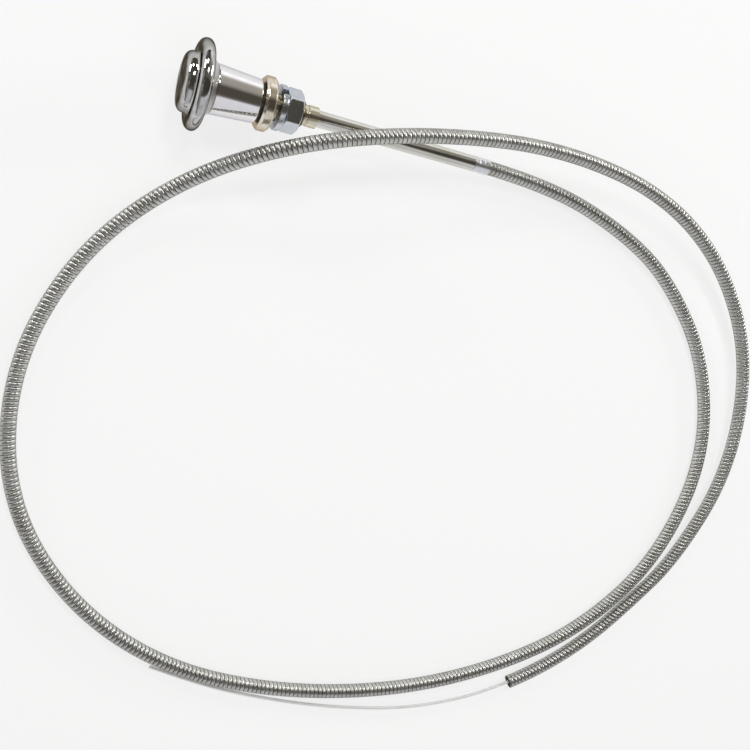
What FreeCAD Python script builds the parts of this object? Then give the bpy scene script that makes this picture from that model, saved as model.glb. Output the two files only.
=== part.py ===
import FreeCAD, Part
import math
import os

import Sketcher

# Push-pull control cable: a pull knob on a rod, a threaded panel mount, a guide tube and a close-wound
# conduit that lies in two loose loops, with the bare inner wire sticking out of its cut end.
# Row frame: millimetres, +Z up, z = 0 is the surface it lies on, +X along the control from the knob to
# the cable. The origin is under the middle of the control, without the conduit and the wire in it.
# Control frame: its X is the control's axis, 0 at the collar's back face, where a panel seats.

os.makedirs("parts", exist_ok=True)
doc = FreeCAD.newDocument("ControlCable")
Vector = FreeCAD.Vector
UP = Vector(0, 0, 1)

# Driving dimensions in millimetres, degrees for the angles
SIZES = {
    "knob_radius": 17.0,
    "rim_radius": 2.5,
    "dome_radius": 11.3,
    "dome_height": 7.0,
    "dome_crown": 0.4,
    "dome_shoulder": 3.0,
    "valley_fillet": 0.8,
    "cap_wall": 0.9,
    "core_back": 5.3,
    "core_neck_radius": 9.3,
    "core_spigot": 3.0,
    "core_clearance": 0.3,
    "stem_length": 17.4,
    "stem_front_radius": 9.45,
    "stem_back_radius": 8.3,
    "stem_bore_radius": 6.0,
    "stem_edge": 0.5,
    "insert_length": 12.5,
    "insert_clearance": 0.05,
    "screw_radius": 1.5,
    "screw_length": 4.6,
    "screw_clearance": 0.06,
    "screw_socket": 1.6,
    "rod_radius": 2.3,
    "rod_front": 7.0,
    "rod_clearance": 0.05,
    "pull_travel": 50.0,
    "push_gap": 0.3,
    "stop_washer_radius": 7.4,
    "stop_washer_bore": 3.9,
    "stop_washer_thickness": 0.6,
    "collar_radius": 10.4,
    "collar_thickness": 4.6,
    "collar_chamfer": 0.9,
    "thread_radius": 5.0,
    "thread_length": 12.6,
    "thread_chamfer": 0.6,
    "thread_clearance": 0.05,
    "stub_radius": 4.15,
    "stub_length": 6.1,
    "stub_groove_width": 1.0,
    "stub_groove_depth": 0.45,
    "bush_radius": 3.6,
    "bush_length": 7.9,
    "bush_clearance": 0.05,
    "ring_radius": 0.62,
    "ring_seat_gap": 0.1,
    "washer_gap": 2.05,
    "washer_radius": 8.75,
    "washer_bore_radius": 5.3,
    "washer_thickness": 2.2,
    "washer_spread": 0.3,
    "washer_slit": 2.0,
    "washer_slit_angle": 135.0,
    "nut_gap": 0.25,
    "nut_flats": 15.0,
    "nut_thickness": 6.4,
    "nut_chamfer_angle": 30.0,
    "nut_face_step": 0.15,
    "nut_angle": 38.0,
    "tube_radius": 3.3,
    "tube_bore_radius": 2.8,
    "tube_length": 80.1,
    "tube_socket": 8.0,
    "tube_clearance": 0.05,
    "socket_clearance": 0.05,
    "coupler_length": 16.0,
    "coupler_clearance": 0.06,
    "ferrule_radius": 3.4,
    "ferrule_length": 7.5,
    "ferrule_spigot": 5.0,
    "ferrule_socket": 6.0,
    "crimp_depth": 0.22,
    "crimp_width": 1.4,
    "conduit_radius": 3.0,
    "conduit_bore_radius": 1.3,
    "rib_valley_radius": 2.55,
    "rib_count": 200.0,
    "rib_groove": 1.0,
    "rib_flank": 0.5,
    "wire_radius": 0.7,
    "wire_clearance": 0.06,
    "touchdown_run": 38.3,
    "tail_bend_radius": 165.7,
    "tail_grip": 5.0,
    "wire_gap": 0.3,
}

sizes = doc.addObject("Spreadsheet::Sheet", "Sizes")
for row, (alias, size) in enumerate(SIZES.items(), start=1):
    sizes.set(f"A{row}", alias)
    sizes.set(f"B{row}", str(size))
    sizes.setAlias(f"B{row}", alias)
doc.recompute()


def number(expression):
    """The value, as a plain number, of an expression over the sheet."""
    value = sizes.evalExpression(str(expression))
    return float(getattr(value, "Value", value))


# Stations along the control's axis, each an expression over the sheet
SEAT = "0"
COLLAR_FRONT = "(-Sizes.collar_thickness)"
STOP_FRONT = f"({COLLAR_FRONT} - Sizes.stop_washer_thickness)"
STEM_BACK = f"({STOP_FRONT} - Sizes.push_gap)"
STEM_FRONT = f"({STEM_BACK} - Sizes.stem_length)"
RIM_CENTRE = f"({STEM_FRONT} - Sizes.core_back)"
DOME_FRONT = f"({RIM_CENTRE} - Sizes.dome_height)"
SPIGOT_BACK = f"({STEM_FRONT} + Sizes.core_spigot)"
INSERT_BACK = f"({SPIGOT_BACK} + Sizes.insert_length)"
INSERT_MIDDLE = f"({SPIGOT_BACK} + Sizes.insert_length / 2)"
ROD_FRONT = f"({STEM_FRONT} - Sizes.rod_front)"
BUSH_BACK = f"({COLLAR_FRONT} + Sizes.bush_length)"
RING_BACK = f"({BUSH_BACK} + 2 * (Sizes.ring_radius + Sizes.ring_seat_gap))"
RING_CENTRE = f"({BUSH_BACK} + Sizes.ring_radius + Sizes.ring_seat_gap)"
WASHER_FRONT = "Sizes.washer_gap"
WASHER_BACK = f"({WASHER_FRONT} + Sizes.washer_thickness + Sizes.washer_spread)"
NUT_FRONT = f"({WASHER_BACK} + Sizes.nut_gap)"
NUT_BACK = f"({NUT_FRONT} + Sizes.nut_thickness)"
THREAD_BACK = "Sizes.thread_length"
STUB_BACK = f"({THREAD_BACK} + Sizes.stub_length)"
TUBE_FRONT = f"({STUB_BACK} - Sizes.tube_socket)"
TUBE_BACK = f"({TUBE_FRONT} + Sizes.tube_length)"
COUPLER_FRONT = f"({TUBE_FRONT} + Sizes.pull_travel + Sizes.push_gap)"
COUPLER_BACK = f"({COUPLER_FRONT} + Sizes.coupler_length)"
ROD_BACK = f"({COUPLER_FRONT} + Sizes.coupler_length / 2)"
FERRULE_FRONT = f"({TUBE_BACK} - Sizes.ferrule_spigot)"
MOUTH = f"({TUBE_BACK} + Sizes.ferrule_length)"
EXIT = f"({MOUTH} - Sizes.ferrule_socket)"
TOUCHDOWN = f"({EXIT} + Sizes.touchdown_run)"

# Radii that follow from a neighbour and a clearance
RIM_RING = "(Sizes.knob_radius - Sizes.rim_radius)"
ROD_BORE = "(Sizes.rod_radius + Sizes.rod_clearance)"
INSERT_RADIUS = "(Sizes.stem_bore_radius - Sizes.insert_clearance)"
NUT_BORE = "(Sizes.thread_radius + Sizes.thread_clearance)"
TUBE_SOCKET_BORE = "(Sizes.tube_radius + Sizes.tube_clearance)"
BUSH_BORE = "(Sizes.bush_radius + Sizes.bush_clearance)"
COUPLER_RADIUS = "(Sizes.tube_bore_radius - Sizes.coupler_clearance)"
SPIGOT_RADIUS = "(Sizes.tube_bore_radius - Sizes.tube_clearance)"
CONDUIT_SOCKET_BORE = "(Sizes.conduit_radius + Sizes.socket_clearance)"
WIRE_BORE = "(Sizes.wire_radius + Sizes.wire_clearance)"


def new_body(name):
    body = doc.addObject("PartDesign::Body", name)
    body.Label = name
    return body


def new_sketch(body, name, plane):
    """An empty sketch on one of the body's own origin planes."""
    sketch = body.newObject("Sketcher::SketchObject", name)
    support = [item for item in body.Origin.OriginFeatures if item.Role == plane]
    sketch.AttachmentSupport = [(support[0], "")]
    sketch.MapMode = "FlatFace"
    return sketch


def bind(sketch, constraint, expression):
    """Adds a constraint whose last value follows an expression."""
    index = sketch.addConstraint(Sketcher.Constraint(*constraint, number(expression)))
    sketch.setExpression(f"Constraints[{index}]", expression)


def arc_between(start, end, radius):
    """The arc of less than half a circle from start to end. A positive radius turns left."""
    half = (end - start) / 2
    lift = math.sqrt(radius ** 2 - half.Length ** 2)
    side = UP.cross(half).normalize() * math.copysign(lift, radius)
    centre = start + half + side
    low, high = (start, end) if radius > 0 else (end, start)
    angles = [math.atan2(point.y - centre.y, point.x - centre.x) for point in (low, high)]
    if angles[1] < angles[0]:
        angles[1] += 2 * math.pi
    return Part.ArcOfCircle(Part.Circle(centre, UP, abs(radius)), *angles)


def outline(body, name, corners, plane="XY_Plane"):
    """A closed sketch through corners (x, y), each an expression. A third entry (turn, radius) bends
    the line that leads to that corner into an arc; turn is 1 for left and -1 for right."""
    sketch = new_sketch(body, name, plane)
    points = [Vector(number(corner[0]), number(corner[1]), 0) for corner in corners]
    ends = []
    for index, corner in enumerate(corners):
        start = points[index - 1]
        if len(corner) == 2:
            sketch.addGeometry(Part.LineSegment(start, points[index]), False)
            ends.append((1, 2))
            continue
        turn, radius = corner[2]
        sketch.addGeometry(arc_between(start, points[index], turn * number(radius)), False)
        ends.append((1, 2) if turn > 0 else (2, 1))
        bind(sketch, ("Radius", index), radius)
    for index, corner in enumerate(corners):
        following = (index + 1) % len(corners)
        here = (index, ends[index][1])
        sketch.addConstraint(Sketcher.Constraint("Coincident", *here, following, ends[following][0]))
        bind(sketch, ("DistanceX", -1, 1, *here), corner[0])
        bind(sketch, ("DistanceY", -1, 1, *here), corner[1])
    return sketch


def revolve(body, name, corners, kind="PartDesign::Revolution"):
    """Turns an outline of (station, radius) corners about the control's axis."""
    sketch = outline(body, f"{name}_outline", corners)
    feature = body.newObject(kind, name)
    feature.Profile = sketch
    feature.ReferenceAxis = (sketch, ["H_Axis"])
    feature.Angle = 360
    return feature


def turned(name, corners):
    """A body turned about the control's axis."""
    body = new_body(name)
    revolve(body, f"{name}_turning", corners)
    return body


def ring_corners(front, back, bore, radius):
    return [(front, bore), (front, radius), (back, radius), (back, bore)]


def hexagon(centre_x, centre_y, across_flats, angle):
    """Six corners of a hexagon, one flat towards +Y when the angle is 0."""
    reach = f"{across_flats} / sqrt(3)"
    turns = [f"({60 * side} + {angle})" for side in range(6)]
    return [(f"{centre_x} + {reach} * cos{turn}", f"{centre_y} + {reach} * sin{turn}") for turn in turns]


def radial_hole(body, name, along, radius):
    """A round hole from the axis out through the underside."""
    sketch = new_sketch(body, f"{name}_circle", "XY_Plane")
    centre = Vector(number(along), 0, 0)
    sketch.addGeometry(Part.Circle(centre, UP, number(radius)), False)
    sketch.addConstraint(Sketcher.Constraint("PointOnObject", 0, 3, -1))
    bind(sketch, ("DistanceX", -1, 1, 0, 3), along)
    bind(sketch, ("Radius", 0), radius)
    pocket = body.newObject("PartDesign::Pocket", name)
    pocket.Profile = sketch
    pocket.Type = "Length"
    pocket.setExpression("Length", "Sizes.knob_radius")
    return pocket


def knob_cap():
    """Pressed cap: crowned dome, valley and a round rim rolled over the core's edge."""
    front = f"({RIM_CENTRE} - Sizes.rim_radius)"
    back = f"({RIM_CENTRE} + Sizes.rim_radius)"
    wall = "Sizes.cap_wall"
    crown_edge = "(Sizes.dome_radius - Sizes.dome_shoulder)"
    crown_radius = f"(({crown_edge} ^ 2 + Sizes.dome_crown ^ 2) / (2 * Sizes.dome_crown))"
    shoulder = f"({DOME_FRONT} + Sizes.dome_crown)"
    dome_back = f"({shoulder} + Sizes.dome_shoulder)"
    inside = f"(Sizes.dome_radius - {wall})"
    rim_inside = f"(Sizes.rim_radius - {wall})"
    corners = [
        (DOME_FRONT, "0"),
        (shoulder, crown_edge, (-1, crown_radius)),
        (dome_back, "Sizes.dome_radius", (-1, "Sizes.dome_shoulder")),
        (f"{front} - Sizes.valley_fillet", "Sizes.dome_radius"),
        (front, "Sizes.dome_radius + Sizes.valley_fillet", (1, "Sizes.valley_fillet")),
        (front, RIM_RING),
        (RIM_CENTRE, "Sizes.knob_radius", (-1, "Sizes.rim_radius")),
        (back, RIM_RING, (-1, "Sizes.rim_radius")),
        (back, "Sizes.dome_radius + Sizes.valley_fillet"),
        (f"{back} - {wall}", "Sizes.dome_radius + Sizes.valley_fillet"),
        (f"{back} - {wall}", RIM_RING),
        (RIM_CENTRE, f"Sizes.knob_radius - {wall}", (1, rim_inside)),
        (f"{front} + {wall}", RIM_RING, (1, rim_inside)),
        (f"{front} + {wall}", inside),
        (dome_back, inside),
        (f"{shoulder} + {wall}", crown_edge, (1, f"(Sizes.dome_shoulder - {wall})")),
        (f"{DOME_FRONT} + {wall}", "0", (1, crown_radius)),
    ]
    return turned("knob_cap", corners)


def knob_core():
    """Core held by the rolled rim, with a cone to the stem, a spigot in it and the rod's blind bore."""
    gap = "Sizes.core_clearance"
    lip = f"({RIM_CENTRE} + Sizes.rim_radius - Sizes.cap_wall)"
    disc_front = f"({RIM_CENTRE} - Sizes.rim_radius + Sizes.cap_wall + {gap})"
    dome_front = f"({DOME_FRONT} + Sizes.dome_crown + Sizes.dome_shoulder)"
    dome_core = f"(Sizes.dome_radius - Sizes.cap_wall - {gap})"
    throat = f"(Sizes.dome_radius + Sizes.valley_fillet - {gap})"
    corners = [
        (dome_front, "0"),
        (dome_front, dome_core),
        (disc_front, dome_core),
        (disc_front, f"{RIM_RING} - {gap}"),
        (lip, f"{RIM_RING} - {gap}"),
        (lip, throat),
        (f"{RIM_CENTRE} + Sizes.rim_radius + {gap}", throat),
        (STEM_FRONT, "Sizes.core_neck_radius"),
        (STEM_FRONT, INSERT_RADIUS),
        (SPIGOT_BACK, INSERT_RADIUS),
        (SPIGOT_BACK, ROD_BORE),
        (ROD_FRONT, ROD_BORE),
        (ROD_FRONT, "0"),
    ]
    return turned("knob_core", corners)


def knob_stem():
    """Tapered stem with broken edges and a tapped hole for the grub screw."""
    edge = "Sizes.stem_edge"
    corners = [
        (STEM_FRONT, "Sizes.stem_bore_radius"),
        (STEM_FRONT, f"Sizes.stem_front_radius - {edge}"),
        (f"{STEM_FRONT} + {edge}", "Sizes.stem_front_radius", (-1, edge)),
        (f"{STEM_BACK} - {edge}", "Sizes.stem_back_radius"),
        (STEM_BACK, f"Sizes.stem_back_radius - {edge}", (-1, edge)),
        (STEM_BACK, "Sizes.stem_bore_radius"),
    ]
    body = turned("knob_stem", corners)
    radial_hole(body, "stem_screw_hole", INSERT_MIDDLE, "Sizes.screw_radius + Sizes.screw_clearance")
    return body


def stem_insert():
    """Brass bush inside the stem that grips the rod."""
    body = turned("stem_insert", ring_corners(SPIGOT_BACK, INSERT_BACK, ROD_BORE, INSERT_RADIUS))
    radial_hole(body, "insert_screw_hole", INSERT_MIDDLE, "Sizes.screw_radius + Sizes.screw_clearance")
    return body


def stem_screw():
    """Grub screw under the stem, its inner end on the rod."""
    body = new_body("stem_screw")
    sketch = new_sketch(body, "screw_circle", "XY_Plane")
    sketch.AttachmentOffset = FreeCAD.Placement(Vector(0, 0, -number(ROD_BORE)), FreeCAD.Rotation())
    sketch.setExpression("AttachmentOffset.Base.z", f"-{ROD_BORE}")
    centre = Vector(number(INSERT_MIDDLE), 0, 0)
    sketch.addGeometry(Part.Circle(centre, UP, number("Sizes.screw_radius")), False)
    sketch.addConstraint(Sketcher.Constraint("PointOnObject", 0, 3, -1))
    bind(sketch, ("DistanceX", -1, 1, 0, 3), INSERT_MIDDLE)
    bind(sketch, ("Radius", 0), "Sizes.screw_radius")
    pad = body.newObject("PartDesign::Pad", "screw_pad")
    pad.Profile = sketch
    pad.Reversed = True
    pad.setExpression("Length", "Sizes.screw_length")
    socket_depth = f"({ROD_BORE} + Sizes.screw_length)"
    corners = hexagon(INSERT_MIDDLE, "0", "Sizes.screw_socket", "0")
    socket = outline(body, "screw_socket_hexagon", corners)
    socket.AttachmentOffset = FreeCAD.Placement(Vector(0, 0, -number(socket_depth)), FreeCAD.Rotation())
    socket.setExpression("AttachmentOffset.Base.z", f"-{socket_depth}")
    pocket = body.newObject("PartDesign::Pocket", "screw_socket")
    pocket.Profile = socket
    pocket.Reversed = True
    pocket.setExpression("Length", "Sizes.screw_socket")
    return body


def push_rod():
    """Rod from the knob's core into the wire coupler."""
    return turned("push_rod", ring_corners(ROD_FRONT, ROD_BACK, "0", "Sizes.rod_radius"))


def wire_coupler():
    """Sleeve on the end of the rod and of the wire, too wide to pass the shank's bore."""
    corners = [
        (COUPLER_FRONT, ROD_BORE),
        (COUPLER_FRONT, COUPLER_RADIUS),
        (COUPLER_BACK, COUPLER_RADIUS),
        (COUPLER_BACK, WIRE_BORE),
        (f"{ROD_BACK} + Sizes.push_gap", WIRE_BORE),
        (f"{ROD_BACK} + Sizes.push_gap", ROD_BORE),
    ]
    return turned("wire_coupler", corners)


def inner_wire_front():
    """Wire from the coupler through the tube to the conduit."""
    front = f"({ROD_BACK} + 2 * Sizes.push_gap)"
    return turned("inner_wire_front", ring_corners(front, EXIT, "0", "Sizes.wire_radius"))


def stop_washer():
    """Thin dark washer that the stem closes on."""
    corners = ring_corners(STOP_FRONT, COLLAR_FRONT, "Sizes.stop_washer_bore", "Sizes.stop_washer_radius")
    return turned("stop_washer", corners)


def collar():
    """Ring in front of the panel, chamfered on both sides."""
    edge = "Sizes.collar_chamfer"
    corners = [
        (COLLAR_FRONT, NUT_BORE),
        (COLLAR_FRONT, f"Sizes.collar_radius - {edge}"),
        (f"{COLLAR_FRONT} + {edge}", "Sizes.collar_radius"),
        (f"-{edge}", "Sizes.collar_radius"),
        (SEAT, f"Sizes.collar_radius - {edge}"),
        (SEAT, NUT_BORE),
    ]
    return turned("collar", corners)


def threaded_shank():
    """Shank through the collar and the panel, with the bush's seat, the rod's bore and the tube's
    socket."""
    edge = "Sizes.thread_chamfer"
    groove_front = f"({THREAD_BACK} + Sizes.stub_groove_width)"
    groove_back = f"({THREAD_BACK} + 2 * Sizes.stub_groove_width)"
    groove_floor = "(Sizes.stub_radius - Sizes.stub_groove_depth)"
    corners = [
        (COLLAR_FRONT, BUSH_BORE),
        (COLLAR_FRONT, "Sizes.thread_radius"),
        (f"{THREAD_BACK} - {edge}", "Sizes.thread_radius"),
        (THREAD_BACK, f"Sizes.thread_radius - {edge}"),
        (THREAD_BACK, "Sizes.stub_radius"),
        (groove_front, "Sizes.stub_radius"),
        (groove_front, groove_floor),
        (groove_back, groove_floor),
        (groove_back, "Sizes.stub_radius"),
        (STUB_BACK, "Sizes.stub_radius"),
        (STUB_BACK, TUBE_SOCKET_BORE),
        (TUBE_FRONT, TUBE_SOCKET_BORE),
        (TUBE_FRONT, ROD_BORE),
        (RING_BACK, ROD_BORE),
        (RING_BACK, BUSH_BORE),
    ]
    return turned("threaded_shank", corners)


def front_bush():
    """Bearing bush of the rod in the shank's mouth."""
    return turned("front_bush", ring_corners(COLLAR_FRONT, BUSH_BACK, ROD_BORE, "Sizes.bush_radius"))


def friction_ring():
    """Rubber ring round the rod between the bush and the bottom of its seat."""
    lower = f"({ROD_BORE} + Sizes.ring_radius)"
    corners = [
        (f"{RING_CENTRE} - Sizes.ring_radius", lower, (-1, "Sizes.ring_radius")),
        (RING_CENTRE, f"{lower} + Sizes.ring_radius", (-1, "Sizes.ring_radius")),
        (f"{RING_CENTRE} + Sizes.ring_radius", lower, (-1, "Sizes.ring_radius")),
        (RING_CENTRE, ROD_BORE, (-1, "Sizes.ring_radius")),
    ]
    return turned("friction_ring", corners)


# How a helix is told that it isn't conical and winds to the left
NO_CONE = -1
LEFT_HANDED = True


def lock_washer():
    """Split spring washer: a flat section wound left-handed over almost one turn, its ends spread along
    the axis and its slit at the angle given, 90 for the control's left side seen from the knob."""
    inner = number("Sizes.washer_bore_radius")
    outer = number("Sizes.washer_radius")
    thickness = number("Sizes.washer_thickness")
    spread = number("Sizes.washer_spread")
    middle = (inner + outer) / 2
    turn_share = 1 - number("Sizes.washer_slit") / (2 * math.pi * middle)
    path = Part.makeHelix(spread / turn_share, spread, middle, NO_CONE, LEFT_HANDED)
    section = Part.makePolygon([
        Vector(inner, 0, 0), Vector(outer, 0, 0), Vector(outer, 0, thickness), Vector(inner, 0, thickness),
        Vector(inner, 0, 0)])
    solid = Part.Wire(path.Edges).makePipeShell([section], True, True)
    washer = doc.addObject("Part::Feature", "lock_washer")
    washer.Label = "lock_washer"
    to_axis = FreeCAD.Rotation(Vector(0, 1, 0), 90)
    to_slit = FreeCAD.Rotation(UP, number("Sizes.washer_slit_angle"))
    solid.Placement = FreeCAD.Placement(Vector(number(WASHER_FRONT), 0, 0), to_axis.multiply(to_slit))
    washer.Shape = Part.Compound([solid]).Solids[0]
    return washer


def mounting_nut():
    """Hex nut with both faces chamfered at its corners."""
    body = new_body("mounting_nut")
    corners = hexagon("0", "0", "Sizes.nut_flats", "30 + Sizes.nut_angle")
    sketch = outline(body, "nut_hexagon", corners, "YZ_Plane")
    sketch.AttachmentOffset = FreeCAD.Placement(Vector(0, 0, number(NUT_FRONT)), FreeCAD.Rotation())
    sketch.setExpression("AttachmentOffset.Base.z", NUT_FRONT)
    pad = body.newObject("PartDesign::Pad", "nut_pad")
    pad.Profile = sketch
    pad.setExpression("Length", "Sizes.nut_thickness")
    doc.recompute()
    revolve(body, "nut_bore", ring_corners(NUT_FRONT, NUT_BACK, "0", NUT_BORE), "PartDesign::Groove")
    tip = "(Sizes.nut_flats / sqrt(3) + Sizes.nut_face_step)"
    base = "(Sizes.nut_flats / 2 - Sizes.nut_face_step)"
    depth = f"(({tip} - {base}) * tan(Sizes.nut_chamfer_angle))"
    front = [(NUT_FRONT, base), (NUT_FRONT, tip), (f"{NUT_FRONT} + {depth}", tip)]
    revolve(body, "nut_front_chamfer", front, "PartDesign::Groove")
    back = [(NUT_BACK, base), (NUT_BACK, tip), (f"{NUT_BACK} - {depth}", tip)]
    revolve(body, "nut_back_chamfer", back, "PartDesign::Groove")
    return body


def guide_tube():
    """Smooth tube in which the coupler slides."""
    corners = ring_corners(TUBE_FRONT, TUBE_BACK, "Sizes.tube_bore_radius", "Sizes.tube_radius")
    return turned("guide_tube", corners)


def tube_ferrule():
    """Crimped end: a spigot in the tube and a socket for the conduit, with two crimped bands."""
    corners = [
        (FERRULE_FRONT, WIRE_BORE),
        (FERRULE_FRONT, SPIGOT_RADIUS),
        (TUBE_BACK, SPIGOT_RADIUS),
        (TUBE_BACK, "Sizes.ferrule_radius"),
    ]
    for band in (1, 2):
        start = f"({TUBE_BACK} + Sizes.ferrule_length * {band} / 3 - Sizes.crimp_width / 2)"
        floor = "(Sizes.ferrule_radius - Sizes.crimp_depth)"
        corners.append((start, "Sizes.ferrule_radius"))
        corners.append((f"{start} + Sizes.crimp_depth", floor))
        corners.append((f"{start} + Sizes.crimp_width - Sizes.crimp_depth", floor))
        corners.append((f"{start} + Sizes.crimp_width", "Sizes.ferrule_radius"))
    corners += [
        (MOUTH, "Sizes.ferrule_radius"),
        (MOUTH, CONDUIT_SOCKET_BORE),
        (EXIT, CONDUIT_SOCKET_BORE),
        (EXIT, WIRE_BORE),
    ]
    return turned("tube_ferrule", corners)


def control_attitude():
    """Placement of the control frame: it lies on the knob's rim, and the conduit touches down behind."""
    run = number(f"{TOUCHDOWN} - {RIM_CENTRE}")
    ring = number(RIM_RING)
    rise = number("Sizes.rim_radius - Sizes.conduit_radius")
    slope = math.atan2(ring, run) + math.asin(rise / math.hypot(run, ring))
    rotation = FreeCAD.Rotation(Vector(0, 1, 0), math.degrees(slope))
    rim_height = ring * math.cos(slope) + number("Sizes.rim_radius")
    rim_centre = rotation.multVec(Vector(number(RIM_CENTRE), 0, 0))
    return FreeCAD.Placement(Vector(0, 0, rim_height - rim_centre.z), rotation)


def seat_in_row(placement, first, last):
    """Moves the control along X until the row's origin is midway between its two ends."""
    ends = []
    for piece in (first, last):
        shape = piece.Shape.copy()
        shape.Placement = placement.multiply(shape.Placement)
        ends.append(shape.optimalBoundingBox(False))
    middle = Vector((ends[0].XMin + ends[1].XMax) / 2, 0, 0)
    return FreeCAD.Placement(placement.Base - middle, placement.Rotation)


# Corner points of the conduit's route beyond the touchdown: x and y from the ferrule's mouth, z above
# the surface. It lies in a first loop, climbs over the guide tube and comes down again in a second one.
LOOP_CORNERS = [
    (74.3, -11.5, 3), (105.8, -28, 3), (137.8, -63, 3), (152.3, -113, 3), (137.8, -166.5, 3),
    (103.8, -204.5, 3), (61.3, -227.5, 3), (11.3, -241.5, 3), (-45.2, -244.5, 3), (-96.7, -235.5, 3),
    (-139.2, -210, 3), (-168.7, -170, 3), (-175.2, -119, 3), (-159.2, -72, 3), (-129.2, -37.5, 8),
    (-87.2, -12.5, 28), (-31.7, 6.5, 25), (28.3, 14, 18), (87.3, 6, 14), (129.8, -17, 11),
    (160.3, -60.5, 8), (167.3, -116, 5), (148.8, -165.5, 3),
]
# The conduit's last stretch and the bare wire lie on one bend about this centre, so that the wire can
# slide in and out along it
TAIL_CENTRE = (-0.9, -85.0)
TAIL_STEP = 7.0
CONDUIT_CORNER_ANGLES = (-40.5, -47.5, -54.5, -61.5)
TAIL_CORNER_ANGLES = (-68.5, -75.5, -82.5, -89.5)
CONDUIT_LAST_RUN = 10.0
# The wire's route after its bend, along the first loop's outer side and down to the surface
TAIL_CORNERS = [(-26.7, -250.6, 2.6), (-53.7, -247.9, 1.7), (-79.7, -243.5, 0.9), (-102.7, -236.2, 0.75)]
# One node of the conduit ends, and the next begins, in the middle of these runs, counted from the ferrule
NODE_RUN_COUNTS = (9, 13, 19)
# The part of a run that the arc at either end of it takes
ARC_SHARE = 0.45
# Shorter leftovers of an edge are left out of a stretch
SHORTEST_EDGE = 1e-6
# Spacing of the points that the conduit's gap to itself is measured at, and how far apart along it
# two of them are at least
GAP_STEP = 4.0
GAP_SKIP = 60.0


def bend_point(angle, radius, mouth):
    """A point on or about the tail's bend, at the conduit's height."""
    turn = math.radians(angle)
    height = number("Sizes.conduit_radius")
    return Vector(mouth.x + TAIL_CENTRE[0] + radius * math.cos(turn),
                  mouth.y + TAIL_CENTRE[1] + radius * math.sin(turn), height)


def rounded(corners):
    """Straight runs through the corners, joined by tangent arcs. Returns the edges and the radii."""
    edges = []
    radii = []
    start = corners[0]
    for before, corner, after in zip(corners, corners[1:], corners[2:]):
        into = corner - before
        out = after - corner
        reach = ARC_SHARE * min(into.Length, out.Length)
        half_turn = into.getAngle(out) / 2
        radius = reach / math.tan(half_turn)
        into.normalize()
        out.normalize()
        inward = (out - into).normalize()
        first = corner - into * reach
        last = corner + out * reach
        middle = corner + inward * radius * (1 / math.cos(half_turn) - 1)
        edges.append(Part.LineSegment(start, first).toShape())
        edges.append(Part.Arc(first, middle, last).toShape())
        radii.append(radius)
        start = last
    edges.append(Part.LineSegment(start, corners[-1]).toShape())
    return edges, radii


def length_of(edges):
    return sum(edge.Length for edge in edges)


def stretch(edges, start, end):
    """The part of a route between two lengths along it."""
    pieces = []
    passed = 0.0
    for edge in edges:
        low = max(start - passed, 0.0)
        high = min(end - passed, edge.Length)
        if high - low > SHORTEST_EDGE:
            limits = [edge.getParameterByLength(low), edge.getParameterByLength(high)]
            pieces.append(edge.Curve.toShape(*limits))
        passed += edge.Length
    return pieces


def along(edges, station):
    """Point and direction of a route at a length along it."""
    for edge in edges:
        if station <= edge.Length or edge is edges[-1]:
            parameter = edge.getParameterByLength(min(station, edge.Length))
            return edge.valueAt(parameter), edge.tangentAt(parameter)
        station -= edge.Length


def hoop(edges, station, radius):
    """A circle square to the route, turned so that its start always faces the same side."""
    point, direction = along(edges, station)
    side = UP.cross(direction).normalize()
    wire = Part.Wire(Part.makeCircle(radius))
    turn = FreeCAD.Rotation(side, direction.cross(side), direction, "ZXY")
    wire.Placement = FreeCAD.Placement(point, turn)
    return wire


def plain_tube(edges, radius):
    """A round solid along a route."""
    return Part.Wire(edges).makePipeShell([hoop(edges, 0.0, radius)], True, True)


def ribbed_tube(edges, ribs):
    """A conduit's stretch: evenly spaced ribs outside and a plain bore inside."""
    crest = number("Sizes.conduit_radius")
    valley = number("Sizes.rib_valley_radius")
    groove = number("Sizes.rib_groove")
    flank = number("Sizes.rib_flank")
    pitch = length_of(edges) / ribs
    hoops = [hoop(edges, 0.0, valley)]
    for rib in range(ribs):
        start = rib * pitch
        if rib:
            hoops.append(hoop(edges, start + groove / 2, valley))
        hoops.append(hoop(edges, start + groove / 2 + flank, crest))
        hoops.append(hoop(edges, start + pitch - groove / 2 - flank, crest))
        if rib < ribs - 1:
            hoops.append(hoop(edges, start + pitch - groove / 2, valley))
    hoops.append(hoop(edges, length_of(edges), valley))
    outside = Part.makeLoft(hoops, True, True)
    return outside.cut(plain_tube(edges, number("Sizes.conduit_bore_radius")))


def shape_feature(name, shape):
    feature = doc.addObject("Part::Feature", name)
    feature.Label = name
    feature.Shape = shape
    return feature


def conduit_corners(placement, mouth):
    """The conduit's whole route: from the ferrule through two loops to the bend shared with the wire."""
    corners = [placement.multVec(Vector(number(station), 0, 0)) for station in (EXIT, TOUCHDOWN)]
    corners += [Vector(mouth.x + x, mouth.y + y, z) for x, y, z in LOOP_CORNERS]
    bend = number("Sizes.tail_bend_radius")
    outside = bend / math.cos(math.radians(TAIL_STEP / 2))
    corners += [bend_point(angle, outside, mouth) for angle in CONDUIT_CORNER_ANGLES]
    tangent = math.radians(CONDUIT_CORNER_ANGLES[-1] - TAIL_STEP / 2)
    direction = Vector(math.sin(tangent), -math.cos(tangent), 0)
    corners.append(corners[-1] + direction * CONDUIT_LAST_RUN)
    return corners


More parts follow.
